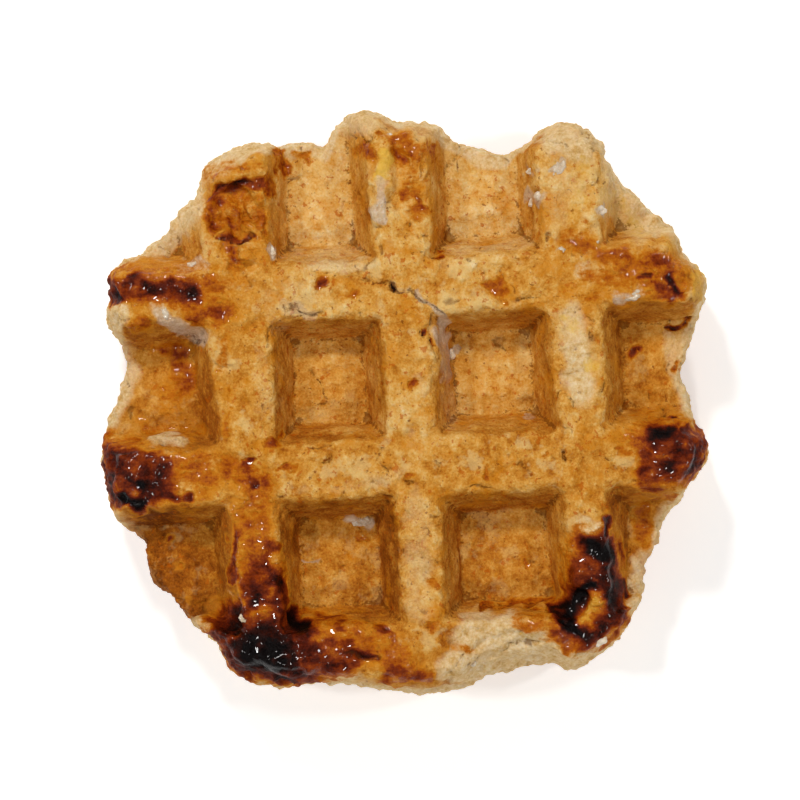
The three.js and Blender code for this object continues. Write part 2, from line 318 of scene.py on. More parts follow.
UPPER_BURN_GAPS = [
    (25.6, -33.4, 26.8, -30.8, 1.5, 0.60), (-24.8, -31.2, -24.2, -31.0, 0.7, 0.30),
    (-22.4, -30.4, -22.0, -29.6, 0.9, 0.20), (-28.0, -33.8, -27.6, -33.4, 0.8, 0.30),
    (-17.2, -38.2, -16.2, -38.4, 1.0, 0.30), (-38.0, -3.9, -34.5, -3.8, 0.9, 0.90),
    (-42.6, 15.2, -42.2, 14.4, 1.5, 1.00), (-37.0, 15.6, -33.0, 12.6, 1.4, 0.60),
    (44.0, 13.0, 44.4, 18.6, 1.3, 0.90),
]
LOWER_BURN = [
    (-26.0, -30.0, -21.0, -35.0, 3.6, 0.62), (-24.0, -34.0, -20.0, -36.0, 2.0, 0.95),
    (27.0, 18.0, 34.0, 17.0, 3.8, 0.42), (31.0, 16.0, 36.0, 18.0, 2.0, 0.75),
    (0.0, 26.0, 1.5, 36.0, 3.2, 0.36), (0.0, 34.0, 1.0, 37.0, 1.6, 0.70),
    (-38.0, -9.0, -30.0, -10.0, 3.6, 0.40), (-40.0, -9.0, -37.0, -10.0, 2.0, 0.80),
    (24.0, -8.0, 28.0, -12.0, 2.6, 0.45), (26.0, -33.0, 24.0, -27.0, 2.8, 0.38),
    (-24.0, 6.0, -23.0, 14.0, 2.4, 0.34), (10.0, -9.0, 14.0, -10.0, 1.6, 0.40),
]

SPILLED = smooth(places[:, 2] + 2.0 * wobble(places, 6.0, 21), 9.0, 15.0)  # how far it ran down the sides
burn = field(UPPER_BURN, SPILLED) * (1 - field(UPPER_BURN_GAPS, UPPER))
burn = np.maximum(burn, field(LOWER_BURN, LOWER))
print("burnt points:", int((burn > 0.6).sum()))

# %% Pale and egg-yellow dough
PALE = [
    (25.2, 11.6, 25.8, 7.4, 2.5, 0.75), (25.4, 6.4, 26.2, 0.6, 2.4, 0.95),
    (26.0, -19.6, 26.6, -20.2, 1.7, 0.95), (9.0, -35.0, 20.0, -38.0, 3.6, 1.00),
    (5.0, -40.0, 12.0, -40.0, 2.4, 1.00), (10.0, -33.4, 14.6, -33.0, 1.2, 0.80),
    (22.0, -39.4, 27.0, -38.6, 1.4, 0.90), (-13.0, -40.6, -10.0, -40.6, 1.6, 0.80),
    (27.0, 18.5, 27.1, 18.5, 1.5, 0.85), (24.0, 38.6, 28.0, 37.0, 2.8, 0.85),
    (-6.6, 42.6, -4.0, 41.6, 2.4, 0.70), (-8.2, 40.4, -8.4, 34.0, 1.2, 0.45),
    (-27.4, 35.6, -24.0, 38.0, 1.6, 0.80), (-24.0, 38.4, -19.0, 39.2, 1.4, 0.80),
    (-38.2, -3.8, -34.0, -3.9, 0.9, 0.85), (1.6, 3.6, 2.6, 2.0, 1.2, 0.55),
    (-14.0, 21.0, -4.0, 20.8, 1.0, 0.65), (6.0, 20.6, 18.0, 20.6, 0.9, 0.40),
    # The second stroke on this line is painted light on the upper right slope, against the shade there.
    (-36.0, 25.4, -30.5, 30.6, 2.4, 0.80), (33.4, 30.6, 38.6, 24.8, 2.2, 0.75),
    (-42.6, 15.4, -42.4, 14.2, 1.6, 1.00), (23.0, 33.0, 27.0, 31.0, 2.2, 0.50),
    (33.6, -26.0, 32.6, -31.0, 1.2, 0.85), (-32.6, -31.6, -30.6, -33.2, 1.2, 0.85),
    (40.0, 8.0, 41.0, 2.0, 1.6, 0.60), (1.0, 41.4, 6.4, 40.0, 1.4, 0.55),
    (-19.0, 7.0, -18.6, -1.0, 0.7, 0.30), (-6.4, 5.0, -12.0, 3.0, 3.0, 0.25),
    (-2.0, -11.0, -6.0, -11.8, 1.6, 0.50), (-16.0, -12.0, -8.0, -12.2, 1.2, 0.45),
    (-18.6, 22.8, -6.0, 22.8, 1.0, 0.50), (7.4, 22.8, 19.4, 22.8, 1.0, 0.50),
    # The second stroke on this line is painted light on the upper right slope, against the shade there.
    (0.7, -15.0, 0.7, -31.0, 2.6, 0.50), (31.6, 29.0, 36.0, 24.0, 2.2, 0.60),
    (6.0, 2.0, 6.4, -3.5, 1.2, 0.45), (-16.4, 17.8, -12.0, 17.2, 1.8, 0.45),
    (-19.6, 17.0, -18.6, 12.0, 1.6, 0.42), (-21.6, 9.0, -21.4, 0.0, 1.5, 0.42),
    (23.6, 36.0, 24.2, 24.0, 2.4, 0.42),
]
YELLOW = [
    (-1.4, 37.0, -2.0, 33.8, 1.0, 1.00), (27.2, 4.6, 27.8, 4.0, 1.3, 0.70),
    (24.2, 11.6, 25.4, 10.0, 1.2, 0.60), (-30.0, 23.8, -29.0, 28.0, 1.6, 0.35),
    (-18.6, 37.4, -21.0, 37.0, 1.2, 0.50), (40.0, 23.0, 42.0, 20.0, 1.2, 0.50),
    (28.0, 35.0, 27.0, 29.0, 1.4, 0.50), (25.6, -33.4, 26.8, -30.8, 1.4, 0.90),
    (22.8, 27.0, 24.0, 24.0, 1.4, 0.40), (-17.0, 17.6, -19.0, 15.6, 1.4, 0.40),
    (44.4, 13.6, 44.4, 18.0, 0.9, 0.60), (15.4, -35.2, 17.0, -35.6, 0.8, 0.50),
    # The first stroke on this line is painted light on the upper right slope, against the shade there.
    (32.0, 29.0, 35.5, 24.5, 2.4, 0.55), (25.6, 28.0, 26.0, 24.4, 1.5, 0.45),
]

# %% Melted sugar, and where the crust is browner or fairer, partly as painted shade and light
SUGAR = [
    (-2.1, 33.4, -2.4, 31.0, 0.9, 0.70), (-2.4, 31.0, -2.7, 28.2, 1.1, 0.95),
    (23.6, 33.6, 24.8, 34.4, 0.9, 1.00), (30.0, 27.6, 30.4, 27.4, 0.8, 0.90),
    (19.8, 30.4, 21.8, 29.6, 1.1, 0.70), (20.0, 34.0, 20.6, 33.6, 0.8, 0.60),
    (32.6, 14.2, 35.6, 15.0, 1.2, 0.90), (23.8, 21.8, 24.4, 21.8, 0.8, 0.60),
    (6.5, 7.6, 7.2, 6.6, 0.8, 0.95), (-19.2, 24.2, -19.2, 22.8, 0.7, 0.95),
    (-33.0, 21.6, -29.6, 22.4, 1.0, 0.75), (-36.6, 16.4, -34.4, 13.4, 1.1, 0.80),
    (-34.2, 13.2, -29.4, 10.8, 1.2, 0.80), (-34.5, 17.3, -33.9, 17.3, 0.5, 0.80),
    (-9.0, -17.4, -6.2, -17.6, 1.0, 0.90), (-16.2, -23.2, -14.2, -23.2, 0.6, 0.70),
    (-26.0, -31.0, -25.6, -31.0, 0.6, 0.70), (-19.8, -27.0, -19.6, -26.8, 0.4, 0.70),
    (-27.6, -27.3, -27.4, -27.2, 0.4, 0.70), (-22.2, -17.0, -22.0, -19.2, 0.8, 0.55),
    (18.0, -2.8, 18.6, -2.8, 0.6, 0.60), (25.8, -37.4, 28.4, -36.4, 1.1, 0.70),
    (-1.2, 40.0, -0.8, 40.0, 0.6, 0.70), (5.6, 13.4, 5.8, 9.0, 0.9, 0.80),
    (5.8, 9.0, 5.9, 3.4, 1.0, 0.60), (0.6, -4.4, 1.6, -5.8, 1.0, 0.45),
    (-17.6, 15.4, -13.4, 13.7, 1.2, 0.55), (3.0, 15.6, 5.2, 13.8, 0.7, 0.70),
    (41.6, -11.8, 43.6, -9.6, 0.6, 0.45), (-1.4, 17.8, 1.6, 16.8, 0.5, 0.50),
    (14.0, 14.4, 17.0, 14.0, 0.8, 0.40),
]
# Browner crust: partly browner baking and partly painted shade where less light falls.
BROWN_AND_SHADE = [
    (-14.0, -19.0, -9.0, -28.0, 5.6, 0.62), (11.0, -20.0, 16.0, -28.0, 5.6, 0.60),
    (-38.0, -20.0, -34.0, -28.0, 6.5, 1.40), (-38.0, 8.0, -34.0, -2.0, 7.0, 0.55),
    (33.0, -18.0, 34.0, -24.0, 5.0, 0.70), (-24.0, -14.0, -23.6, -24.0, 5.0, 0.60),
    (36.0, 6.0, 36.0, 0.0, 4.5, 0.60), (28.0, 17.0, 40.0, 17.0, 5.0, 0.45),
    (-24.0, 24.0, -24.0, 14.0, 5.0, 0.30), (-16.0, -33.0, 4.0, -38.0, 5.0, 0.50),
    (8.0, -9.5, 34.0, -9.5, 4.5, 0.30), (26.0, -14.0, 26.0, -17.0, 3.5, 0.30),
    (-30.0, -9.0, -18.0, -9.0, 4.0, 0.35), (-24.0, 8.0, -24.0, 0.0, 3.0, 0.35),
    (-4.2, -17.0, -4.2, -30.0, 1.6, 0.60),
]
# Fairer crust: partly paler baking and partly painted light; the second line lightens the upper right slope
# against the shade that falls there.
FAIR_AND_LIT = [
    (-12.0, 33.0, -12.0, 27.0, 6.5, 0.55), (13.0, 33.0, 13.0, 27.0, 6.5, 0.50),
    (28.0, 30.0, 33.0, 25.0, 4.0, 0.35), (33.0, 30.0, 37.0, 24.0, 3.0, 0.45),
]
LOWER_PALE = [
    (10.0, 36.0, 18.0, 36.0, 2.0, 0.70), (-14.0, -9.0, -6.0, -10.0, 2.4, 0.50),
    (24.0, 30.0, 27.0, 36.0, 2.4, 0.60), (0.0, -30.0, 2.0, -38.0, 2.6, 0.70),
    (-40.0, 16.0, -34.0, 18.0, 2.0, 0.70),
]
LOWER_SUGAR = [
    (-12.0, 17.0, -9.0, 18.0, 1.4, 0.90), (2.0, 4.0, 1.4, 8.0, 1.4, 0.80),
    (25.0, -18.0, 26.0, -21.0, 1.2, 0.90), (-24.0, 26.0, -25.0, 29.0, 1.4, 0.90),
    (33.0, -9.0, 36.0, -10.0, 1.2, 0.80),
]

pale = np.maximum(field(PALE, UPPER), field(LOWER_PALE, LOWER))
sugar = np.maximum(field(SUGAR, UPPER, 0.35), field(LOWER_SUGAR, LOWER))
yellow = field(YELLOW, UPPER, 0.6)
# The brown field is partly browner baking and partly painted shade and light.
brown = np.maximum(field(BROWN_AND_SHADE, UPPER, 0.7), 0.4 * LOWER) - field(FAIR_AND_LIT, UPPER)
print("pale points:", int((pale > 0.5).sum()), "and sugared points:", int((sugar > 0.5).sum()))

# %% [markdown]
# ## The rim
# The dough that ran out of the iron's grid never touched hot metal for long, so a waffle's edge stays pale.
# How far a point lies inside the edge follows from the shape itself: the outline's radius is the furthest
# point in each direction, and the difference to it tells how deep in the point is.

# %% Distance in from the edge
DIRECTIONS = 240
RIM_WIDTH = (0.6, 3.4)  # millimetres in from the edge over which the rim fades away
RIM_PALING = 0.28  # the share of the darkest caramel that is lost at the rim

heading = (np.arctan2(places[:, 1], places[:, 0]) / (2 * math.pi) % 1) * DIRECTIONS
from_centre = np.linalg.norm(places[:, :2], axis=1)
reach = np.zeros(DIRECTIONS)
np.maximum.at(reach, heading.astype(int) % DIRECTIONS, from_centre)
edge_gap = np.interp(heading, np.arange(DIRECTIONS + 1) + 0.5, np.append(reach, reach[0])) - from_centre
edge_gap = np.maximum(edge_gap + 0.5 * wobble(places, 5.0, 11), 0)
rim = 1 - smooth(edge_gap, *RIM_WIDTH)
burn *= 1 - RIM_PALING * rim * smooth(burn, 0.6, 0.9)

# The rim is palest along its belt, half-way up, where the two halves of the iron meet.
belt = 1 - smooth(np.abs(places[:, 2] - MIDDLE), 5.0, 9.5)
rim_pale = rim * (0.55 + 0.45 * belt) * (1 - 0.5 * brown * UPPER)
pale = np.maximum(pale, rim_pale * (1 - smooth(burn, 0.15, 0.5)))
print("pale rim points:", int((rim_pale > 0.5).sum()))

# %% [markdown]
# ## Cracks and lumps
# The crust tore where the dough rose under it, and caramel stands up in glossy lumps. Cracks are thin paths:
# the field falls off from the path, and both the shape and the material read it. Lumps and hollows are wide
# strokes with a height in millimetres, which the geometry tree adds along the surface's normal.

# %% Cracks: the points of each path, and how deep it is torn
CRACKS = [
    ([(-13, 20.2), (-10, 19.4), (-7, 19.0), (-4.4, 18.4), (-2, 17.8)], 0.72),
    ([(-2, 17.8), (-0.2, 17.2), (1.6, 16.6), (3, 15.4), (5.6, 13.6)], 0.84),
    ([(-1.4, 17.3), (-0.5, 17.1)], 1.15), ([(10.2, 38.0), (8.4, 36.0), (7.8, 34.8)], 0.80),
    ([(-14, 5.2), (-12.8, 2.8), (-11.6, 0.6)], 0.78), ([(-12.2, -6.8), (-11.9, -8.2)], 0.84),
    ([(-4.0, -6.4), (-3.6, -9.6), (-2.6, -11.6)], 0.80), ([(23.4, -8.8), (23.8, -9.2)], 0.98),
    ([(23.6, 0.2), (24.6, -1.4)], 0.84), ([(-0.4, -12.0), (0.6, -12.4)], 0.86),
    ([(39.4, 9.4), (43.4, 10.4)], 0.80), ([(-27.4, 25.9), (-24.6, 25.3), (-21.6, 25.9)], 0.84),
    ([(-10.4, -36.6), (-8.0, -37.8), (-5.6, -37.2)], 0.86),
    ([(9.0, -31.4), (13.0, -30.8), (20.0, -30.9)], 0.74),
    ([(-17.4, 15.6), (-14.6, 13.8), (-11.8, 13.8)], 0.80),
    ([(-27, 33.2), (-24.4, 34.2), (-21.4, 33.8)], 0.80),
    ([(2.0, 22.4), (4.6, 21.6), (6.0, 22.6)], 0.72), ([(20.4, 39.0), (23.4, 38.6), (26.0, 37.0)], 0.70),
    ([(38.2, -2.9), (38.8, -3.5)], 0.86), ([(3.4, 10.6), (3.6, 10.0)], 0.88),
    ([(4.0, 9.0), (4.1, 8.4)], 0.82), ([(17.2, 14.2), (21.0, 15.2)], 0.76),
    ([(36.2, 17.2), (37.0, 17.5)], 0.90), ([(-33.0, 11.4), (-30.0, 10.4)], 0.76),
    ([(28.6, 39.2), (30.2, 36.0)], 0.78), ([(22.6, 36.6), (25.4, 35.6), (28.2, 36.4)], 0.68),
    ([(-6.6, 40.4), (-4.4, 39.2), (-2.6, 39.8)], 0.76), ([(12.0, -37.6), (16.0, -37.0)], 0.70),
    ([(4.0, -8.4), (4.8, -10.4)], 0.76), ([(-19.4, 12.0), (-20.2, 9.2)], 0.78),
    ([(-21.6, 2.4), (-21.0, -0.8)], 0.76), ([(8.6, -13.4), (12.6, -13.0)], 0.76),
    ([(1.8, 26.6), (2.6, 24.0)], 0.74), ([(27.8, 11.8), (28.2, 8.0)], 0.76),
    ([(20.6, 20.8), (17.4, 21.2)], 0.74),
]

# %% Lumps, dents and rounded places: a stroke each, with its height in millimetres
LIFTS = [
    (-24.9, 29.6, -24.6, 29.4, 1.9, 2.3), (-22.3, 27.5, -22.1, 27.3, 1.2, 1.8),
    (-25.9, 26.8, -25.7, 26.7, 1.0, 1.6), (-21.8, 30.6, -21.6, 30.4, 1.1, 1.4),
    (-25.2, 22.8, -25.0, 22.6, 0.8, 1.2), (-23.4, 23.3, -23.2, 23.1, 0.8, 1.3),
    (-24.3, 21.4, -24.1, 21.3, 0.7, 1.0), (-28.0, 35.0, -20.0, 36.2, 1.6, 0.5),
    (-1.5, 37.0, -2.8, 28.4, 1.3, 0.8), (-16.4, -36.6, -15.4, -37.2, 3.2, 0.55),
    (-11.2, -36.8, -10.8, -37.2, 2.2, 0.45), (-6.6, -34.2, -5.6, -34.8, 2.0, 0.45),
    (-3.4, -38.4, -2.6, -39.0, 2.0, 0.45), (-25.8, -31.0, -25.6, -31.0, 0.8, 0.4),
    (-27.0, -35.6, -26.4, -36.0, 1.8, 0.4), (-21.6, -36.4, -21.0, -36.8, 1.8, 0.4),
    (26.2, -32.4, 26.6, -31.2, 1.4, 0.9), (27.2, -23.8, 27.8, -24.4, 1.6, 0.4),
    (38.0, -8.2, 41.0, -8.0, 1.5, 0.4), (-42.6, 15.2, -42.4, 14.4, 1.8, 0.5),
    (-38.0, -3.8, -34.4, -3.9, 0.8, 0.3), (16.0, -33.6, 20.0, -34.8, 1.6, 0.4),
    (5.8, 13.2, 5.9, 4.0, 1.0, 0.3), (-8.6, -17.4, -6.4, -17.6, 1.0, 0.35),
    (30.0, -29.0, 30.0, -33.0, 1.5, 0.35),
]
DENTS = [
    (-24.6, 23.0, -24.2, 21.8, 2.2, 1.0), (-23.0, 33.0, -26.0, 32.4, 1.2, 0.8),
    (0.6, 37.0, 0.2, 30.0, 1.2, 0.9), (8.0, -36.0, 20.0, -38.0, 2.6, 0.5),
    (41.4, 14.6, 42.0, 15.4, 1.0, 0.8), (-18.2, -31.6, -17.4, -32.2, 1.4, 0.6),
    (-40.4, -12.4, -42.6, -12.8, 1.2, 0.4), (-19.6, 26.0, -19.0, 31.0, 1.0, 0.3),
    (38.2, -6.0, 39.4, -5.8, 1.0, 0.5), (14.4, 16.6, 15.2, 16.0, 1.4, 0.3),
    (-30.6, 31.0, -29.0, 25.0, 1.4, 0.5), (24.4, -29.4, 22.8, -31.6, 1.4, 0.5),
    (-37.0, 12.6, -31.0, 12.2, 1.2, 0.3), (1.2, -5.0, 1.6, -5.6, 1.2, 0.3),
]
MELTED = [(-24.2, 30.2, -24.1, 28.6, 4.6, 1.0), (25.2, -32.2, 25.3, -32.2, 3.6, 1.0)]

# %% Lay all the fields on the skin's points
CRACK_REACH = 1.3  # how far from a crack's path, in millimetres, its field falls to nothing

crack = np.zeros(len(places))
for path, strength in CRACKS:
    for (x0, y0), (x1, y1) in zip(path, path[1:]):
        away = stroke_distance(bent, x0, y0, x1, y1)
        crack = np.maximum(crack, strength * np.clip(1 - away / CRACK_REACH, 0, 1))
crack *= UPPER
lift = field(LIFTS, UPPER, 0.7) - field(DENTS, UPPER, 0.7)
melted = field(MELTED, UPPER, 0.4)


def keep(piece, **fields):
    for name, values in fields.items():
        attribute = piece.data.attributes.new(name, "FLOAT", "POINT")
        attribute.data.foreach_set("value", values.astype(np.float32))


keep(waffle, burn=burn, pale=pale, sugar=sugar, yellow=yellow, brown=brown, rim=rim)
keep(waffle, crack=crack, lift=lift, melted=melted)
print("paths of cracks:", len(CRACKS), "and lumps and dents:", len(LIFTS) + len(DENTS))

# %% [markdown]
# ## Relief
# The iron leaves sharp edges, but baked dough doesn't keep them: it is rounded, lumpy, pitted with burst
# bubbles, and streaked along the pocket walls, where it set in thin layers. All of this follows rules, so
# one Geometry Nodes tree shapes the whole skin, with its sizes as named inputs. The tree is built in a few
# steps, and a small class carries the skin and what was measured on it from one step to the next.

# %% Sizes of the relief and words for its tree
RELIEF = {  # name: value; lengths are in millimetres
    "Edge rounding": 2, "Melted rounding": 16, "Hollow reach": 9, "Lump size": 5.0, "Lump height": 1.7,
    "Crumb size": 2.0, "Crumb height": 1.5, "Grain size": 0.9, "Grain height": 0.35, "Rim size": 1.7,
    "Rim height": 2.2, "Bubble spacing": 2.3, "Bubble height": 1.2, "Pit spacing": 2.6,
    "Pit depth": 0.5, "Crease size": 7.0, "Crease depth": 0.40, "Streak height": 0.10,
    "Crack depth": 0.8, "Table": 0.0, "Ceiling": 24.9,
}


class ReliefWiring(Wiring):
    def __init__(self, tree):
        super().__init__(tree)
        self.given = self.node("NodeGroupInput").outputs
        self.position = self.out("GeometryNodeInputPosition")
        self.normal = self.out("GeometryNodeInputNormal")
        self.skin = self.given["Skin"]

    def mm(self, name):
        """A named input, turned from millimetres into metres."""
        return self.times(self.given[name], MM)

    def field_of(self, name):
        return self.out("GeometryNodeInputNamedAttribute", {"data_type": "FLOAT"}, {"Name": name})

    def change(self, kind, inputs=None, settings=None):
        self.skin = self.out(kind, settings, {"Geometry": self.skin, **(inputs or {})})

    def store(self, name, value):
        settings = {"data_type": "FLOAT", "domain": "POINT"}
        self.change("GeometryNodeStoreNamedAttribute", {"Name": name, "Value": value}, settings)

    def blurred(self, steps):
        inputs = {"Value": self.position, "Iterations": steps}
        return self.out("GeometryNodeBlurAttribute", {"data_type": "FLOAT_VECTOR"}, inputs)

    def swell(self, size, height, detail, seed):
        """Noise of the named size that rises and falls by half the named height."""
        inputs = {"Vector": self.position, "W": seed, "Detail": detail}
        inputs["Scale"] = self.number("DIVIDE", 1.0, self.mm(size))
        noise = self.out("ShaderNodeTexNoise", {"noise_dimensions": "4D"}, inputs)
        return self.times(self.number("SUBTRACT", noise, 0.5), self.mm(height))


print("relief inputs:", len(RELIEF))

# %% [markdown]
# ### Round the edges and measure the shape
# Blurring the positions rounds the edges, and far more where sugar melted into the dough. Comparing a wide
# blur with the point itself tells hollows from crests, and the normal tells walls from level places. These
# measures are stored on the points, because the material paints shade into the hollows and colours the walls
# browner and darker, partly as painted shade.

# %% Rounding, hollows and walls
def round_edges(w):
    rounding = w.node("ShaderNodeMix", {"data_type": "VECTOR"})
    w.tree.links.new(w.field_of("melted"), rounding.inputs[0])
    w.tree.links.new(w.blurred(w.given["Edge rounding"]), rounding.inputs[4])
    w.tree.links.new(w.blurred(w.given["Melted rounding"]), rounding.inputs[5])
    w.change("GeometryNodeSetPosition", {"Position": rounding.outputs[1]})


def measure_shape(w):
    # Hollow is positive in the corners of the pockets and negative on the edges of the crests.
    away = w.vector("SUBTRACT", w.blurred(w.given["Hollow reach"]), w.position)
    along_normal = w.node("ShaderNodeVectorMath", {"operation": "DOT_PRODUCT"}, {0: away, 1: w.normal})
    w.hollow = along_normal.outputs["Value"]
    w.store("hollow", w.number("DIVIDE", w.hollow, MM))

    # Level is 1 on floors and crests and 0 on an upright wall.
    w.level = w.number("ABSOLUTE", w.node("ShaderNodeSeparateXYZ", None, {0: w.normal}).outputs["Z"])
    bare = w.rest(w.number("MAXIMUM", w.field_of("rim"), w.times(w.field_of("pale"), 0.8)))
    w.wall = w.times(w.step(w.level, 0.80, 0.50), bare)
    w.store("wall", w.wall)
    w.store("steep", w.step(w.level, 0.75, 0.45))

    w.burnt = w.step(w.field_of("burn"), 0.3, 0.75)
    w.glassy = w.step(w.field_of("sugar"), 0.3, 0.8)
    w.dough = w.rest(w.number("MAXIMUM", w.burnt, w.glassy))


# %% [markdown]
# ### Rough dough
# The bumps of the dough come in several sizes, from lumps of 5 mm down to single grains, and each size is
# a noise of its own, so that each can be calmed where it doesn't belong. A noise is a meandering line
# wherever it crosses its middle, which makes a short fissure of each piece of that line that a second noise
# lets through. A noise that is stretched sideways shows the thin layers of the walls as streaks.

# %% Lumps, fissures and streaks
def dough_lumps(w):
    lumps = w.swell("Lump size", "Lump height", 2.0, 1.0)
    calm = w.rest(w.number("MAXIMUM", w.times(w.glassy, 0.8), w.times(w.wall, 0.5)))
    crumbs = w.times(w.swell("Crumb size", "Crumb height", 3.0, 2.0), calm)
    grain = w.times(w.swell("Grain size", "Grain height", 1.0, 3.0), w.dough)
    ragged = w.times(w.swell("Rim size", "Rim height", 3.0, 6.0), w.field_of("rim"))
    raised = w.plus(w.times(lumps, 0.5), crumbs, w.times(ragged, 0.5))
    # The material paints shade and light by this height: darker where low, lighter where raised.
    w.store("raised", w.number("DIVIDE", raised, MM))
    return lumps, crumbs, grain, ragged


def dough_fissures(w):
    meander = w.swell("Crease size", "Crease size", 1.5, 4.0)
    close = w.number("DIVIDE", w.number("ABSOLUTE", meander), w.mm("Crease size"))
    brow = w.step(w.hollow, -0.05 * MM, -0.13 * MM)
    chance = w.noise(w.position, 4.0 * MM, 2.0, 0.5, 5.0)
    allowed = w.step(w.plus(chance, w.times(brow, 0.12)), 0.53, 0.62)
    crease = w.times(w.step(close, 0.022, 0.0), allowed, w.dough, w.step(w.level, 0.3, 0.6))
    # The material darkens these creases with painted shade.
    w.store("crease", crease)
    return crease


def wall_streaks(w):
    along = w.vector("MULTIPLY", w.position, (0.30, 0.30, 1.0))
    streak = w.number("SUBTRACT", w.noise(along, 1.2 * MM, 3.0, 0.6), 0.5)
    return w.times(streak, w.mm("Streak height"), w.wall)


# %% [markdown]
# ### Bubbles and pits
# Caramel boils, so its surface is a crowd of small domes of uneven shape: a cell pattern, stirred by a noise
# so that its cells aren't all alike. Bubbles of the dough burst and leave pits instead. Only some cells of
# the pit pattern hold a pit, and caramel fills the ones under it.

# %% Boiled caramel and burst bubbles
def caramel_domes(w):
    stirring = {"Vector": w.position, "Scale": 1 / (2.2 * MM), "Detail": 2.0}
    push = w.node("ShaderNodeTexNoise", None, stirring).outputs["Color"]
    push = w.vector("SUBTRACT", push, (0.5, 0.5, 0.5))
    stirred = w.vector("ADD", w.position, w.scaled(push, 2.4 * MM))
    cells = {"Vector": stirred, "Scale": w.number("DIVIDE", 1.0, w.mm("Bubble spacing"))}
    domes = w.node("ShaderNodeTexVoronoi", {"feature": "SMOOTH_F1"}, cells).outputs["Distance"]
    # The material paints shade into these troughs between the domes.
    w.store("trough", w.number("SUBTRACT", domes, 0.38))
    return w.times(w.number("SUBTRACT", 0.28, domes), w.mm("Bubble height"), w.burnt)


def burst_pits(w):
    cells = {"Vector": w.position, "Scale": w.number("DIVIDE", 1.0, w.mm("Pit spacing"))}
    pattern = w.node("ShaderNodeTexVoronoi", {"feature": "F1"}, cells).outputs
    chance = w.node("ShaderNodeSeparateXYZ", None, {0: pattern["Color"]}).outputs["X"]
    pits = w.times(w.step(pattern["Distance"], 0.26, 0.05), w.step(chance, 0.55, 0.65), w.dough)
    w.store("pit", pits)
    return pits


# %% [markdown]
# ### The whole tree
# All heights are added up and push the skin out along its normals once, so that no step disturbs the next
# one's noise. The waffle lies on its lower crests and stays under the height that it was pressed to.

# %% The relief tree
def relief_tree(material):
    tree = bpy.data.node_groups.new("waffle_relief", "GeometryNodeTree")
    tree.interface.new_socket("Skin", in_out="INPUT", socket_type="NodeSocketGeometry")
    for name, value in RELIEF.items():
        kind = "NodeSocketInt" if isinstance(value, int) else "NodeSocketFloat"
        tree.interface.new_socket(name, in_out="INPUT", socket_type=kind).default_value = value
    tree.interface.new_socket("Crust", in_out="OUTPUT", socket_type="NodeSocketGeometry")
    w = ReliefWiring(tree)
    round_edges(w)
    measure_shape(w)
    lumps = dough_lumps(w)
    crease = w.times(dough_fissures(w), w.mm("Crease depth"))
    domes = caramel_domes(w)
    pits = w.times(burst_pits(w), w.mm("Pit depth"))
    torn = w.times(w.step(w.field_of("crack"), 0.45, 1.0), w.mm("Crack depth"))
    risen = w.plus(*lumps, domes, wall_streaks(w), w.times(w.field_of("lift"), MM))
    height = w.number("SUBTRACT", risen, w.plus(pits, crease, torn))
    w.change("GeometryNodeSetPosition", {"Offset": w.scaled(w.normal, height)})

    x, y, z = w.node("ShaderNodeSeparateXYZ", None, {0: w.position}).outputs
    z = w.number("MINIMUM", w.number("MAXIMUM", z, w.mm("Table")), w.mm("Ceiling"))
    kept = w.out("ShaderNodeCombineXYZ", None, {0: x, 1: y, 2: z})
    w.change("GeometryNodeSetPosition", {"Position": kept})
    w.change("GeometryNodeSetShadeSmooth", {"Shade Smooth": True})
    w.change("GeometryNodeRealizeInstances")
    w.change("GeometryNodeSetMaterial", {"Material": material})
    w.node("NodeGroupOutput", None, {0: w.skin})
    return tree


# %% [markdown]
# ## The crust's colours
# A baked crust isn't one brown. Where the iron touched, it is golden, with darker freckles of sugar; the
# walls are browner and streaked; the rim is cream. Caramel runs from clear amber through red-brown to
# black, and it shines wherever it lies thick. The material mixes these one over another, each by its own
# soft field with noise added, so that every edge is cut fine and irregular.

# %% Colours and small helpers
def paint(code):
    """A linear colour from a six-digit hex code."""
    parts = [int(code[i:i + 2], 16) / 255 for i in (0, 2, 4)]
    return [p / 12.92 if p <= 0.04045 else ((p + 0.055) / 1.055) ** 2.4 for p in parts] + [1.0]


CRUST_TONES = [
    (0.0, "ead09c"), (0.2, "e2b76e"), (0.4, "d59a44"), (0.58, "c07c26"), (0.76, "a05812"),
    (1.0, "6c3408"),
]
CARAMEL_TONES = [
    (0.0, "d6963a"), (0.3, "ca7f1a"), (0.42, "b26009"), (0.56, "843205"), (0.72, "541603"),
    (0.86, "2a0a03"), (1.0, "080303"),
]
PALE_TONES = [(0.0, "f0e0c0"), (0.4, "e4c898"), (0.7, "d0a868"), (1.0, "b08442")]
SUGAR_TONES = [(0.0, "e4d6c4"), (0.5, "c6ab8c"), (1.0, "9a7450")]
PEARL_TONES = [(0.0, "e6d8c4"), (0.5, "ccb597"), (1.0, "a08262")]


def ramp(w, value, tones):
    new = w.node("ShaderNodeValToRGB", None, {"Fac": value})
    stops = new.color_ramp.elements
    while len(stops) < len(tones):
        stops.new(0.5)
    for stop, (place, code) in zip(stops, tones):
        stop.position = place
        stop.color = paint(code)
    return new.outputs["Color"]


def over(w, share, under, upper):
    settings = {"data_type": "RGBA", "blend_type": "MIX", "clamp_factor": True}
    new = w.node("ShaderNodeMix", settings)
    for socket, value in ((new.inputs[0], share), (new.inputs[6], under), (new.inputs[7], upper)):
        if isinstance(value, bpy.types.NodeSocket):
            w.tree.links.new(value, socket)
        else:
            socket.default_value = value
    return new.outputs[2]


def new_material(name, wiring=Wiring):
    material = bpy.data.materials.new(name)
    material.use_nodes = True
    material.node_tree.nodes.clear()
    return material, wiring(material.node_tree)


def finish_material(w, shader):
    w.node("ShaderNodeOutputMaterial", None, {"Surface": shader})


# %% [markdown]
# ### The fields that the crust's colours share
# The noises are as large as what they stand for on a waffle, from patches of two or three millimetres down
# to grains of a third of a millimetre. A small class holds them and the colour so far, and each layer of
# colour is laid over the one below it by a share from 0 to 1.

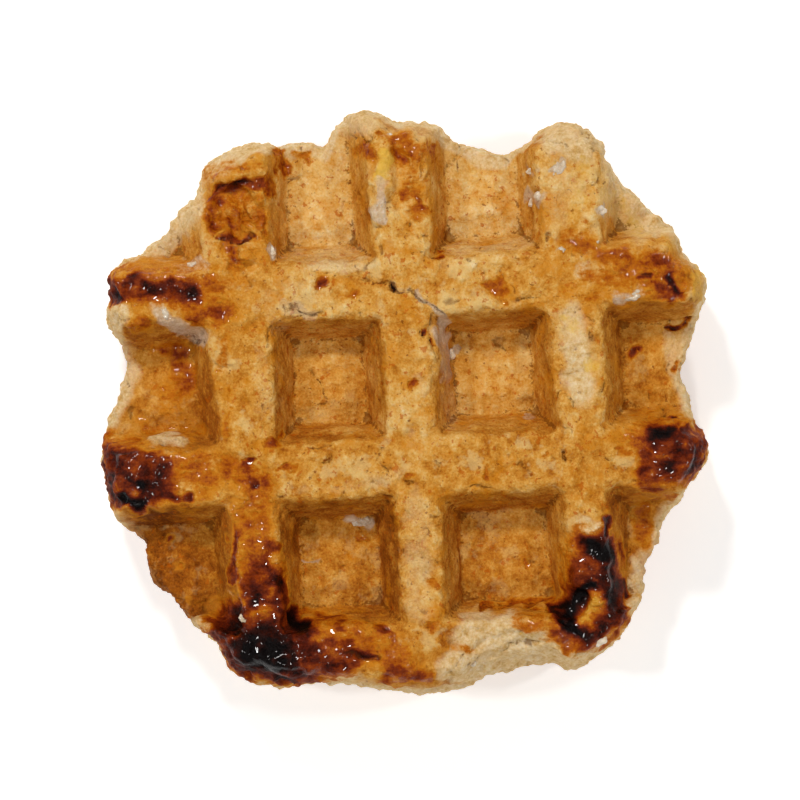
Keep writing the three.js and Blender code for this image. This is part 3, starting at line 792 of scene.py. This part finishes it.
# %% Words for the crust
class CrustWiring(Wiring):
    def __init__(self, tree):
        super().__init__(tree)
        self.at = self.node("ShaderNodeTexCoord").outputs["Object"]
        self.patch = self.noise(self.at, 2.6 * MM, 3, 0.55, 2)
        self.crumb = self.noise(self.at, 1.4 * MM, 5, 0.62, 10)
        self.mottle = self.noise(self.at, 0.8 * MM, 3, 0.6, 3)
        self.grain = self.noise(self.at, 0.36 * MM, 2, 0.6, 4)
        self.flow = self.noise(self.vector("MULTIPLY", self.at, (0.30, 0.30, 1.0)), 0.9 * MM, 4, 0.7, 5)
        self.wall = self.field_of("wall")
        self.flat = self.rest(self.wall)

    def field_of(self, name):
        return self.node("ShaderNodeAttribute", {"attribute_name": name}).outputs["Fac"]

    def around(self, value, reach):
        """Noise from 0 to 1 made to swing by this much to each side of 0."""
        return self.number("MULTIPLY_ADD", value, 2 * reach, -reach)

    def lay(self, share, colour):
        self.colour = over(self, share, self.colour, colour)


# %% [markdown]
# ### Golden crust
# The plain crust goes from pale to brown. It is darker in the low places between its lumps and lighter on
# their tops, which is painted shade and light, and darker on the walls, partly as browner crust and partly
# as painted shade. Butter and sugar colour some patches orange, and others stay creamy. The iron's teeth
# pressed the floors of the pockets flat, so those are more even. Freckles of browned sugar, then smaller
# and darker specks, lie over it all.

# %% Plain crust and freckles
def plain_crust(w):
    wide = w.noise(w.at, 9 * MM, 2, 0.5, 1)
    height = w.node("ShaderNodeSeparateXYZ", None, {0: w.at}).outputs["Z"]
    from_middle = w.number("ABSOLUTE", w.number("SUBTRACT", height, MIDDLE * MM))
    floor = w.times(w.step(from_middle, 7.5 * MM, 5.0 * MM), w.flat)
    lively = w.rest(w.times(floor, 0.55))
    patchy = w.times(w.around(w.patch, 0.34), lively)
    tone = w.plus(0.42, w.around(wide, 0.20), patchy, w.around(w.grain, 0.26))
    crumbly = w.times(w.around(w.crumb, 0.44), w.plus(0.35, w.times(w.flat, 0.65)))
    tone = w.number("SUBTRACT", tone, crumbly)
    # The brown field darkens, partly as browner baking and partly as painted shade; the walls are darker,
    # partly as browner crust and partly as painted shade.
    tone = w.plus(tone, w.times(w.field_of("brown"), 0.30), w.times(w.wall, 0.14), w.times(floor, 0.01))
    tone = w.plus(tone, w.times(w.wall, w.around(w.flow, 0.22)))
    # Painted shade and light: darker low between the lumps, lighter on the raised places.
    tone = w.plus(tone, w.times(w.field_of("raised"), lively, -0.34))
    w.colour = ramp(w, tone, CRUST_TONES)

    broad = w.noise(w.at, 4.2 * MM, 3, 0.6, 9)
    w.lay(w.times(w.step(broad, 0.54, 0.64), lively, 0.58), paint("cb7e14"))
    creamy = w.step(w.plus(broad, w.around(w.mottle, 0.12)), 0.46, 0.36)
    w.lay(w.times(creamy, lively, w.flat, 0.50), paint("e0c080"))


def freckles(w):
    freckle = w.noise(w.at, 1.2 * MM, 3, 0.6, 6)
    w.freckled = w.step(freckle, 0.59, 0.65)
    w.lay(w.times(w.freckled, 0.70), paint("b65a08"))
    speck = w.noise(w.at, 0.9 * MM, 3, 0.6, 7)
    w.lay(w.times(w.step(speck, 0.64, 0.69), 0.72), paint("7c3c0c"))


# %% [markdown]
# ### Pale dough, painted shade in seams and creases, and melted sugar
# Dough that was hardly baked is cream, and yellow where egg and butter gathered. A dark, broken line of
# painted shade lies in the corner at the foot of each wall, and the creases are darkened with painted shade.
# Melted pearl sugar soaks into the crust as a greyish white glaze.

# %% Pale dough, painted shade in seams and creases, and sugar
def pale_dough(w):
    edge = w.plus(w.field_of("pale"), w.around(w.patch, 0.34), w.around(w.mottle, 0.30))
    tone = w.plus(0.48, w.around(w.patch, 0.42), w.around(w.mottle, 0.60), w.around(w.grain, 0.34))
    w.lay(w.times(w.step(edge, 0.28, 0.85), 0.88), ramp(w, tone, PALE_TONES))
    yellow = w.step(w.plus(w.field_of("yellow"), w.around(w.mottle, 0.25)), 0.35, 0.85)
    w.lay(w.times(yellow, 0.75), paint("e2b446"))


def seam_and_crease_shade(w):
    hollow = w.field_of("hollow")
    seam_shade = w.step(w.plus(hollow, w.around(w.mottle, 0.16), w.around(w.grain, 0.06)), 0.13, 0.19)
    seam_shade = w.times(seam_shade, w.step(hollow, 0.20, 0.30, 1.0, 0.45))
    # Painted shade: a dark, broken line in the corner at the foot of each wall.
    w.lay(w.times(seam_shade, 0.66), paint("683206"))
    w.creased = w.step(w.plus(w.field_of("crease"), w.around(w.mottle, 0.5)), 0.35, 1.0)
    # Painted shade: the creases are darkened.
    w.lay(w.times(w.creased, 0.60), paint("64300a"))


def melted_sugar(w):
    edge = w.plus(w.field_of("sugar"), w.around(w.mottle, 0.30), w.around(w.patch, 0.20))
    w.sugary = w.step(edge, 0.30, 0.85)
    tone = w.plus(0.45, w.around(w.mottle, 0.7), w.around(w.grain, 0.3))
    w.lay(w.times(w.sugary, 0.82), ramp(w, tone, SUGAR_TONES))


# %% [markdown]
# ### Caramel, cracks and pits
# Caramel lies over all the rest. Noises of four sizes make its edge sway, one of them drawn out sideways,
# and it is darkened in the troughs between its bubbles with painted shade. Cracks and pits are darkened
# with painted shade, and they keep dark crumbs as well.

# %% Caramel, cracks and pits
def caramel(w):
    burn = w.field_of("burn")
    pulled = w.noise(w.vector("MULTIPLY", w.at, (0.35, 1.0, 0.6)), 0.9 * MM, 3, 0.6, 12)
    sway = w.plus(w.around(w.patch, 0.26), w.around(w.mottle, 0.16))
    sway = w.plus(sway, w.around(pulled, 0.24), w.around(w.grain, 0.10))
    sway = w.times(sway, w.step(burn, 0.02, 0.3), w.step(burn, 0.65, 1.0, 1.0, 0.6))
    # Painted shade: the caramel is darker in the troughs between its bubbles.
    w.burnt = w.plus(burn, sway, w.times(w.field_of("trough"), w.step(burn, 0.3, 0.7), 0.55))
    w.lay(w.step(w.burnt, 0.08, 0.42), ramp(w, w.burnt, CARAMEL_TONES))


def cracks_and_pits(w):
    split = w.plus(w.field_of("crack"), w.around(w.mottle, 0.30), w.around(w.grain, 0.12))
    w.torn = w.step(split, 0.60, 0.90)
    # Painted shade in the cracks, near black where they are deepest, with dark crumbs as well.
    w.lay(w.times(w.torn, 0.72), paint("5c2c0a"))
    w.lay(w.step(split, 0.86, 1.02), paint("1c0c06"))
    # Painted shade in the pits, with dark crumbs as well.
    w.pitted = w.step(w.plus(w.field_of("pit"), w.around(w.mottle, 0.4)), 0.5, 1.0)
    w.lay(w.times(w.pitted, 0.5), paint("74441a"))


# %% [markdown]
# ### Gloss and fine relief
# Plain crust is dull, and caramel has a clear, smooth coat, thinner at the rim and on steep places, where
# it ran off. What is too fine for the mesh is bump: crumbs and grains, the streaks of the walls, the small
# blisters of the caramel, and the bottoms of cracks and pits.

# %% The baked crust
def gloss(w):
    """How wet it is, from 0 to 1, with its roughness and the weight of its coat."""
    wet = w.number("MAXIMUM", w.step(w.burnt, 0.20, 0.50), w.times(w.sugary, 0.4), clamp=True)
    outer = w.number("MAXIMUM", w.field_of("rim"), w.field_of("steep"))
    dull = w.step(outer, 0.2, 1.0, 0.0, 0.65)
    roughness = w.number("MAXIMUM", w.step(wet, 0.0, 1.0, 0.70, 0.34), dull)
    coat = w.times(wet, w.step(outer, 0.2, 1.0, 1.0, 0.12), w.step(w.burnt, 0.5, 0.9, 0.60, 0.42))
    return wet, roughness, coat


def fine_relief(w, wet):
    crumbly = w.times(w.crumb, w.step(wet, 0.0, 1.0, 0.85, 0.30))
    fine = w.plus(w.times(w.grain, 0.12), crumbly, w.times(w.flow, w.wall, 0.06))
    blister = w.noise(w.at, 0.42 * MM, 2, 0.5, 8)
    blisters = w.times(blister, wet, w.step(w.burnt, 0.55, 0.95, 0.22, 0.42))
    rise = w.plus(fine, blisters, w.times(w.freckled, 0.03))
    sunk = w.plus(w.times(w.torn, 0.35), w.times(w.pitted, 0.10), w.times(w.creased, 0.12))
    height = w.number("SUBTRACT", rise, sunk)
    return w.out("ShaderNodeBump", None, {"Strength": 1.0, "Distance": MM, "Height": height})


def crust_material():
    material, w = new_material("baked_crust", CrustWiring)
    plain_crust(w)
    freckles(w)
    pale_dough(w)
    seam_and_crease_shade(w)
    melted_sugar(w)
    caramel(w)
    cracks_and_pits(w)
    wet, roughness, coat = gloss(w)
    inputs = {
        "Base Color": w.colour, "Roughness": roughness, "Specular IOR Level": 0.04,
        "Normal": fine_relief(w, wet), "Coat Weight": coat, "Coat Roughness": 0.045, "Coat IOR": 1.33,
        "Subsurface Weight": 0.12, "Subsurface Scale": 1.6 * MM, "Subsurface Radius": (1.0, 0.55, 0.25),
    }
    finish_material(w, w.out("ShaderNodeBsdfPrincipled", None, inputs))
    return material


baked_crust = crust_material()
print("crust material:", len(baked_crust.node_tree.nodes), "nodes")

# %% [markdown]
# ## From skin to crust
# The relief tree runs on the fine, even skin. That has more triangles than a shared model should carry, so
# a decimate modifier thins it afterwards: it takes points away where the crust is flat and keeps them where
# it is rough. Both results are made plain, since the finished model holds no modifiers.

# %% Shape the skin and thin it
TRIANGLE_LIMIT = 192_000  # for the crust alone

shaping = waffle.modifiers.new("relief", "NODES")
shaping.node_group = relief_tree(baked_crust)
settle(waffle)
count = sum(len(face.vertices) - 2 for face in waffle.data.polygons)
thin = waffle.modifiers.new("thin", "DECIMATE")
thin.ratio = min(1.0, TRIANGLE_LIMIT / count)
settle(waffle)
print("crust:", count, "triangles before,", len(waffle.data.polygons), "faces after")

# %% [markdown]
# ## Pearl sugar
# Not every pearl melts. Some stay as hard, glassy lumps that stand out of the crust, so they are shapes of
# their own and not paint. Each is a ball on a point of a small cloud, flattened and turned by the point's
# own values, and pushed out of round by noise. Geometry Nodes place them and join them into one mesh.

# %% Where the lumps lie
PEARLS = [  # x, y, half the length, half the width, turn in degrees
    (24.2, 34.0, 1.5, 1.0, 30), (30.2, 27.5, 1.0, 0.7, -20), (21.3, 30.0, 1.0, 0.7, 10),
    (20.2, 29.2, 0.8, 0.6, 60), (20.2, 33.9, 0.8, 0.5, 20), (34.6, 14.6, 1.5, 0.8, 15),
    (24.0, 21.9, 0.8, 0.5, 0), (6.9, 7.0, 0.9, 0.6, -50), (-19.2, 23.4, 1.0, 0.6, 90),
    (-30.6, 22.0, 1.3, 0.6, 20), (-35.4, 15.0, 1.0, 0.7, -50), (-7.6, -17.5, 1.5, 0.7, 5),
    (-25.8, -31.0, 0.7, 0.6, 0), (27.2, -36.8, 1.1, 0.7, 30), (-2.4, 29.6, 1.3, 0.6, 85),
    (-1.0, 40.0, 0.6, 0.5, 0), (-34.2, 17.4, 0.6, 0.4, 10), (29.4, 22.8, 0.5, 0.4, 30),
    (8.0, -39.4, 0.5, 0.4, 0), (22.0, 32.4, 0.5, 0.4, 0),
]


def pearl_points():
    """One point on the crust for each pearl, with the size and the turn that its ball will take."""
    tree = bvhtree.BVHTree.FromObject(waffle, bpy.context.evaluated_depsgraph_get())
    rows = []
    for x, y, half_length, half_width, turn in PEARLS:
        above = Vector(((x + MARK_SHIFT[0]) * MM, (y + MARK_SHIFT[1]) * MM, 2 * THICKNESS * MM))
        hit = tree.ray_cast(above, Vector((0, 0, -1)))[0]
        if hit is not None:
            rows.append((hit, (half_length, half_width, half_width), math.radians(turn)))
    mesh = bpy.data.meshes.new("pearl_sugar")
    mesh.from_pydata([hit for hit, size, turn in rows], [], [])
    sizes = mesh.attributes.new("size", "FLOAT_VECTOR", "POINT")
    sizes.data.foreach_set("vector", [value for hit, size, turn in rows for value in size])
    turns = mesh.attributes.new("turn", "FLOAT", "POINT")
    turns.data.foreach_set("value", [turn for hit, size, turn in rows])
    cloud = bpy.data.objects.new("pearl_sugar", mesh)
    bpy.context.scene.collection.objects.link(cloud)
    return cloud


# %% [markdown]
# ### The tree of the pearls
# An instance is one ball that is shown many times, so it costs little, but all copies are alike. They are
# realized first, and only then does the noise push their points, so that every lump is dented differently.

# %% The pearl tree
PEARL_RULES = {"Sink": 0.35, "Flatness": 0.60, "Rough size": 0.8, "Rough height": 0.55}  # lengths in mm


def pearl_tree(material):
    tree = bpy.data.node_groups.new("pearls", "GeometryNodeTree")
    tree.interface.new_socket("Points", in_out="INPUT", socket_type="NodeSocketGeometry")
    for name, value in PEARL_RULES.items():
        tree.interface.new_socket(name, in_out="INPUT", socket_type="NodeSocketFloat").default_value = value
    tree.interface.new_socket("Pearls", in_out="OUTPUT", socket_type="NodeSocketGeometry")
    w = Wiring(tree)
    given = w.node("NodeGroupInput").outputs
    position = w.out("GeometryNodeInputPosition")
    ball = w.out("GeometryNodeMeshIcoSphere", None, {"Radius": MM, "Subdivisions": 4})
    size = w.out("GeometryNodeInputNamedAttribute", {"data_type": "FLOAT_VECTOR"}, {"Name": "size"})
    turn = w.out("GeometryNodeInputNamedAttribute", {"data_type": "FLOAT"}, {"Name": "turn"})
    flat = w.out("ShaderNodeCombineXYZ", None, {0: 1.0, 1: 1.0, 2: given["Flatness"]})
    turned = w.out("ShaderNodeCombineXYZ", None, {2: turn})
    on = {"Points": given["Points"], "Instance": ball, "Rotation": turned}
    on["Scale"] = w.vector("MULTIPLY", size, flat)
    balls = w.out("GeometryNodeInstanceOnPoints", None, on)
    balls = w.out("GeometryNodeRealizeInstances", None, {"Geometry": balls})
    rough = w.number("MULTIPLY", given["Rough size"], MM)
    scale = w.number("DIVIDE", 1.0, rough)
    lumps = w.node("ShaderNodeTexNoise", None, {"Vector": position, "Scale": scale, "Detail": 2.0})
    lumpy = w.number("SUBTRACT", lumps.outputs["Fac"], 0.5)
    push = w.number("MULTIPLY", lumpy, w.number("MULTIPLY", given["Rough height"], MM))
    offset = w.scaled(w.out("GeometryNodeInputNormal"), w.number("MULTIPLY", push, 2.0))
    sink = w.out("ShaderNodeCombineXYZ", None, {2: w.number("MULTIPLY", given["Sink"], -MM)})
    moved = {"Geometry": balls, "Offset": w.vector("ADD", offset, sink)}
    balls = w.out("GeometryNodeSetPosition", None, moved)
    balls = w.out("GeometryNodeSetShadeSmooth", None, {"Geometry": balls, "Shade Smooth": True})
    balls = w.out("GeometryNodeSetMaterial", None, {"Geometry": balls, "Material": material})
    w.node("NodeGroupOutput", None, {0: balls})
    return tree


# %% [markdown]
# ### Sugar
# Pearl sugar is cloudy, between white and amber where it drew in some caramel. Light enters it and leaves
# again nearby, which subsurface scattering gives, and its wetted grains have a thin coat.

# %% The sugar and its piece
def sugar_material():
    material, w = new_material("pearl_sugar")
    at = w.node("ShaderNodeTexCoord").outputs["Object"]
    cloudy = w.noise(at, 1.4 * MM, 3, 0.55, 21)
    fine = w.noise(at, 0.35 * MM, 2, 0.5, 22)
    colour = ramp(w, w.number("MULTIPLY_ADD", cloudy, 1.5, -0.35), PEARL_TONES)
    bump = w.out("ShaderNodeBump", None, {"Strength": 0.6, "Distance": 0.3 * MM, "Height": fine})
    roughness = w.step(fine, 0.35, 0.65, 0.18, 0.42)
    inputs = {
        "Base Color": colour, "Roughness": roughness, "Normal": bump,
        "Coat Weight": 0.5, "Coat Roughness": 0.1,
        "Subsurface Weight": 0.35, "Subsurface Scale": 1.2 * MM, "Subsurface Radius": (1.0, 0.8, 0.6),
    }
    finish_material(w, w.out("ShaderNodeBsdfPrincipled", None, inputs))
    return material


pearls = pearl_points()
placing = pearls.modifiers.new("pearls", "NODES")
placing.node_group = pearl_tree(sugar_material())
settle(pearls)
print("pearls:", len(PEARLS), "lumps,", len(pearls.data.polygons), "faces")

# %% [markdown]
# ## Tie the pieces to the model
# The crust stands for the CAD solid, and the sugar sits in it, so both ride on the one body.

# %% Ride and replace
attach(waffle, "root")
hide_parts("waffle")
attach(pearls, "root")
print("pieces:", waffle.name, "and", pearls.name)

# %% [markdown]
# ## A plain table, soft light and the camera
# The waffle lies on a white table. Four small softboxes stand round it, and the strongest is beyond its far
# side, so the walls that face that light are a little brighter. Small lamps make the caramel sparkle in
# points, where one large light would lay a grey sheen on it. The camera looks straight down with a long
# lens, which keeps the pockets' walls even, and it is rolled a little, because the waffle doesn't lie quite
# square.

# %% Ground
GROUND_SIZE = 4.0
TABLE_GLOW = 0.40


def ground_material():
    material, w = new_material("white_ground")
    at = w.node("ShaderNodeTexCoord").outputs["Object"]
    faint = w.noise(at, 40 * MM, 2, 0.5, 31)
    colour = ramp(w, faint, [(0.0, "f4f4f4"), (1.0, "fafafa")])
    # A white table under bright lamps looks evenly white, and a faint glow stands for that.
    white = {"Base Color": colour, "Roughness": 0.9, "Emission Color": (1, 1, 1, 1)}
    white["Emission Strength"] = TABLE_GLOW
    finish_material(w, w.out("ShaderNodeBsdfPrincipled", None, white))
    return material


ground_mesh = bpy.data.meshes.new("ground")
half = GROUND_SIZE / 2
corners = [(-half, -half, 0), (half, -half, 0), (half, half, 0), (-half, half, 0)]
ground_mesh.from_pydata(corners, [], [(0, 1, 2, 3)])
ground_mesh.materials.append(ground_material())
ground = bpy.data.objects.new("ground", ground_mesh)
bpy.context.scene.collection.objects.link(ground)
print("ground:", GROUND_SIZE, "m wide")


# %% Lights
def softbox(name, place, size, power, colour):
    light = bpy.data.lights.new(name, "AREA")
    light.shape = "RECTANGLE"
    light.size, light.size_y = size
    light.energy = power
    light.color = colour
    lamp = bpy.data.objects.new(name, light)
    lamp.location = place
    lamp.rotation_euler = (Vector((0, 0, MIDDLE * MM)) - Vector(place)).to_track_quat("-Z", "Y").to_euler()
    bpy.context.scene.collection.objects.link(lamp)


SMALL = (0.06, 0.06)
WARM, WHITE = (1.0, 0.98, 0.95), (1.0, 0.99, 0.98)

# Name, place and size in metres, power in watts, and colour.
softbox("far_softbox", (-0.16, 0.50, 0.70), (0.11, 0.09), 3.6, WARM)
softbox("near_softbox", (0.10, -0.52, 0.70), SMALL, 1.5, WHITE)
softbox("right_softbox", (0.52, 0.10, 0.70), SMALL, 1.15, WHITE)
softbox("left_softbox", (-0.52, 0.04, 0.70), SMALL, 1.35, WHITE)

# The room's light comes from above all round, but not from right overhead, where the camera hangs: that
# keeps the caramel dark, with a glint only where it is tilted.
SKY = [  # the place, from 0.5 at the horizon to 1 overhead, and the colour there
    (0.50, "c8c8c8"), (0.70, "c8c8c8"), (0.82, "ffffff"), (0.955, "ffffff"), (0.985, "3a3a3a"),
    (1.0, "2c2c2c"),
]
SKY_STRENGTH = 0.31

world = bpy.data.worlds.new("studio")
world.use_nodes = True
world.node_tree.nodes.clear()
w = Wiring(world.node_tree)
direction = w.node("ShaderNodeTexCoord").outputs["Generated"]
rise = w.node("ShaderNodeSeparateXYZ", None, {0: direction}).outputs["Z"]
dome = ramp(w, w.number("MULTIPLY_ADD", rise, 0.5, 0.5), SKY)
glow = w.out("ShaderNodeBackground", None, {"Color": dome, "Strength": SKY_STRENGTH})
w.node("ShaderNodeOutputWorld", None, {"Surface": glow})
bpy.context.scene.world = world
bpy.context.scene.view_settings.view_transform = "Standard"

# %% Camera
VIEW_WIDTH = 120 * MM  # how much of the scene the frame takes in
VIEW_LEVEL = 18 * MM  # the height at which that width is measured
CAMERA_HEIGHT = 1.1
ROLL = math.radians(-2.6)
OFF_CENTRE = (-0.97 * MM, 0.44 * MM)  # from the iron's middle to the frame's middle, along its right and up

right = Vector((math.cos(ROLL), math.sin(ROLL), 0))
up = Vector((-math.sin(ROLL), math.cos(ROLL), 0))
aim = Vector((MARK_SHIFT[0] * MM, MARK_SHIFT[1] * MM, 0)) + OFF_CENTRE[0] * right + OFF_CENTRE[1] * up
lens = bpy.data.cameras.new("camera")
lens.lens = lens.sensor_width * CAMERA_HEIGHT / VIEW_WIDTH
lens.clip_end = 20
camera = bpy.data.objects.new("camera", lens)
camera.location = (aim.x, aim.y, VIEW_LEVEL + CAMERA_HEIGHT)
camera.rotation_euler = (0, 0, ROLL)
bpy.context.scene.collection.objects.link(camera)
bpy.context.scene.camera = camera
print("lens:", round(lens.lens, 1), "mm")
